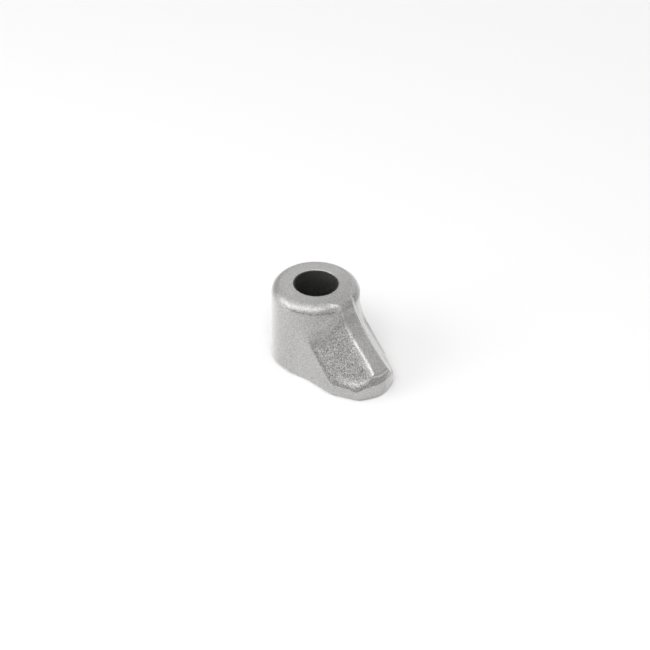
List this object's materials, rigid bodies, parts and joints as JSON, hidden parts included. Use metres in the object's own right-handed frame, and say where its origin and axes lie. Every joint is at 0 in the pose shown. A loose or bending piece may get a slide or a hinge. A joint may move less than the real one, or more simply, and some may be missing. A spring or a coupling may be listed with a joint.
{
  "type": "bored wear tooth",
  "caption": "Steel wear tooth with an upright bored boss, a short sloping toe with a flat-topped rib and side webs, and a thin sleeve in the bore.",
  "frame": {"origin": "on the bore's axis in the flat base", "axes": "+Z along the bore, from the base towards its mouth; +X along the toe, from the bore towards the nose"},
  "size_m": [0.0644, 0.04, 0.0382],
  "materials": {
    "blasted_steel": "shot-blasted, matt with fine grain",
    "dark_steel": "black oxide, dull"
  },
  "bodies": {
    "root": {"tooth_body": "blasted_steel", "bore_sleeve": "dark_steel"}
  },
  "joints": []
}
